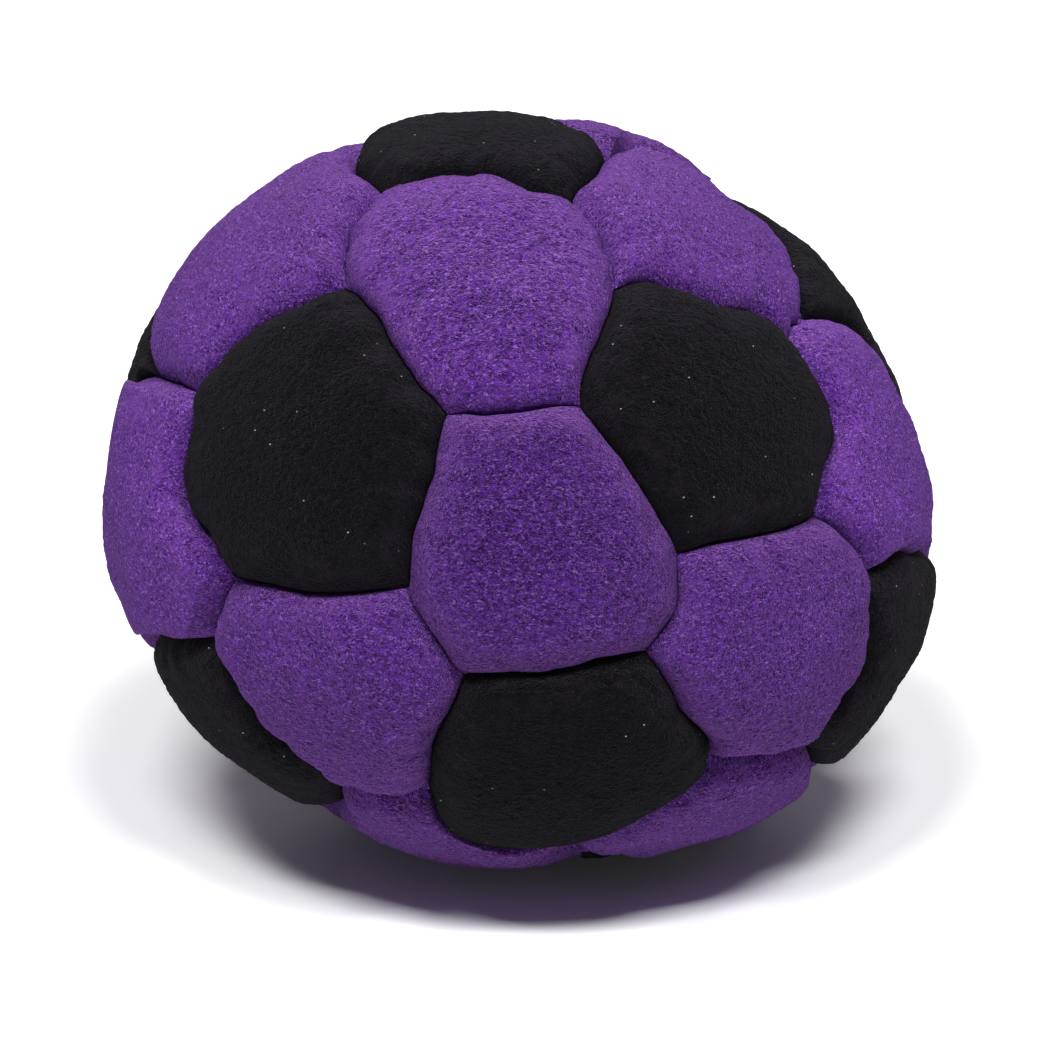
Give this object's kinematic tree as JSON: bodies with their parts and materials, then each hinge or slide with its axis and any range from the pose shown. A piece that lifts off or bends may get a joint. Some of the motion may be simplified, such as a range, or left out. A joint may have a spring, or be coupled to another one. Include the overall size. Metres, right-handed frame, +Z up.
{
  "type": "footbag",
  "caption": "Hand-sewn footbag of black pentagon and purple hexagon suede panels, pellet filled, resting slumped on a flat foot.",
  "frame": {"origin": "on the floor that the bag rests on, under the middle of its outline seen from above", "axes": "+Z up, -Y towards the front of the bag, +X to the right as seen from the front"},
  "size_m": [0.0533, 0.0532, 0.0472],
  "materials": {
    "purple_suede": "matt brushed suede with a short nap",
    "black_suede": "matt brushed suede with a short nap",
    "black_thread": "twisted polyester sewing thread",
    "pellets": "moulded plastic pellets, translucent white"
  },
  "bodies": {
    "root": {"black_panel_bottom": "black_suede", "black_panel_lower_1": "black_suede", "black_panel_lower_2": "black_suede", "black_panel_lower_3": "black_suede", "black_panel_lower_4": "black_suede", "black_panel_lower_5": "black_suede", "black_panel_top": "black_suede", "black_panel_upper_1": "black_suede", "black_panel_upper_2": "black_suede", "black_panel_upper_3": "black_suede", "black_panel_upper_4": "black_suede", "black_panel_upper_5": "black_suede", "pellet_filling": "pellets", "purple_panel_bottom_1": "purple_suede", "purple_panel_bottom_2": "purple_suede", "purple_panel_bottom_3": "purple_suede", "purple_panel_bottom_4": "purple_suede", "purple_panel_bottom_5": "purple_suede", "purple_panel_lower_1": "purple_suede", "purple_panel_lower_2": "purple_suede", "purple_panel_lower_3": "purple_suede", "purple_panel_lower_4": "purple_suede", "purple_panel_lower_5": "purple_suede", "purple_panel_top_1": "purple_suede", "purple_panel_top_2": "purple_suede", "purple_panel_top_3": "purple_suede", "purple_panel_top_4": "purple_suede", "purple_panel_top_5": "purple_suede", "purple_panel_upper_1": "purple_suede", "purple_panel_upper_2": "purple_suede", "purple_panel_upper_3": "purple_suede", "purple_panel_upper_4": "purple_suede", "purple_panel_upper_5": "purple_suede", "thread_bottom": "black_thread", "thread_lower_1": "black_thread", "thread_lower_2": "black_thread", "thread_lower_3": "black_thread", "thread_lower_4": "black_thread", "thread_lower_5": "black_thread", "thread_top": "black_thread", "thread_upper_1": "black_thread", "thread_upper_2": "black_thread", "thread_upper_3": "black_thread", "thread_upper_4": "black_thread", "thread_upper_5": "black_thread"}
  },
  "joints": []
}
